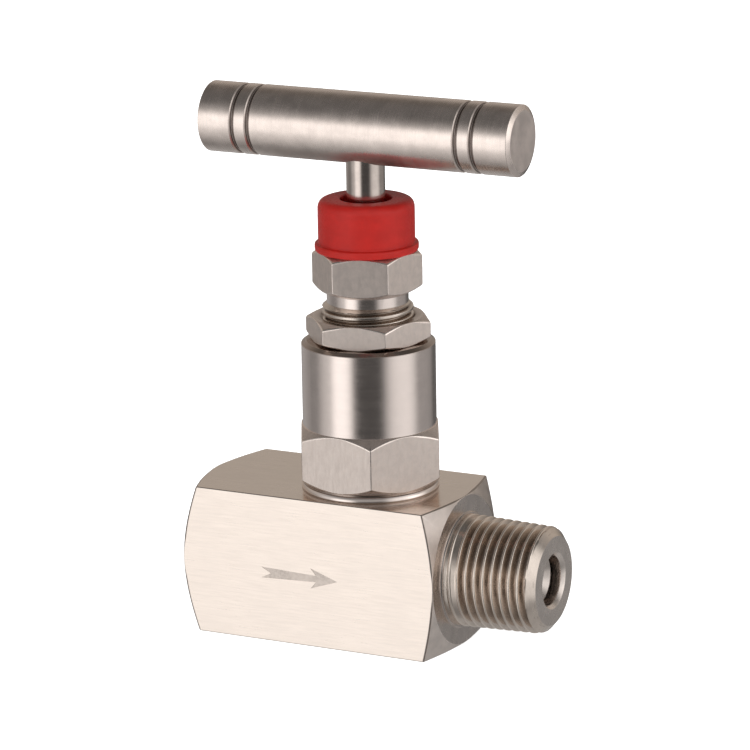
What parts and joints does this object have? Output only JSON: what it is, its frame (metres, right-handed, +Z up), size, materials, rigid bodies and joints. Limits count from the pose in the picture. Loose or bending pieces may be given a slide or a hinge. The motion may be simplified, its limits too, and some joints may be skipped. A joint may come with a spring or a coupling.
{
  "type": "needle valve",
  "caption": "Square-bar needle valve with a female threaded inlet, a male threaded outlet, a hexagon bonnet, a locked packing adjuster, a red dust cap and a round T-bar handle.",
  "frame": {"origin": "foot of the stem axis on the flat underside of the body", "axes": "+X with the flow, out of the male end; -Y is the front face; +Z up along the stem"},
  "size_m": [0.074, 0.03, 0.109],
  "materials": {
    "bar_steel": "cold-drawn stainless bar, faint grain along the flow",
    "turned_steel": "turned and milled stainless, satin",
    "stem_steel": "ground stainless, fine",
    "handle_steel": "turned stainless, satin",
    "inner_steel": "turned stainless",
    "hard_steel": "ground hardened stainless",
    "seal_ptfe": "white PTFE",
    "packing_ptfe": "white PTFE",
    "red_pvc": "soft red dipped PVC, matt"
  },
  "bodies": {
    "valve_body": {"body": "bar_steel", "bonnet": "turned_steel", "bonnet_seal": "seal_ptfe", "packing_washer": "inner_steel", "packing_base_adapter": "packing_ptfe", "packing_v_ring_1": "packing_ptfe", "packing_v_ring_2": "packing_ptfe", "packing_v_ring_3": "packing_ptfe", "packing_v_ring_4": "packing_ptfe", "packing_top_adapter": "packing_ptfe", "gland_follower": "inner_steel", "packing_adjuster": "turned_steel", "lock_nut": "turned_steel", "dust_cap": "red_pvc"},
    "needle": {"needle_tip": "hard_steel", "tip_pins": "hard_steel", "thrust_ball": "hard_steel"},
    "stem_and_handle": {"stem": "stem_steel", "handle_bar": "handle_steel", "handle_set_screw": "hard_steel"}
  },
  "joints": [
    {"name": "needle_lift", "type": "slide", "parent": "valve_body", "child": "needle", "axis": [0, 0, 1], "range_m": [0, 0.005]},
    {"name": "stem_turn", "type": "hinge", "parent": "needle", "child": "stem_and_handle", "pos_m": [0, 0, 0.1], "axis": [0, 0, 1], "range_deg": [0, 1800]}
  ],
  "couplings": [
    {"joint": "needle_lift", "follows": "stem_turn", "m_per_rad": 0.00015915}
  ]
}
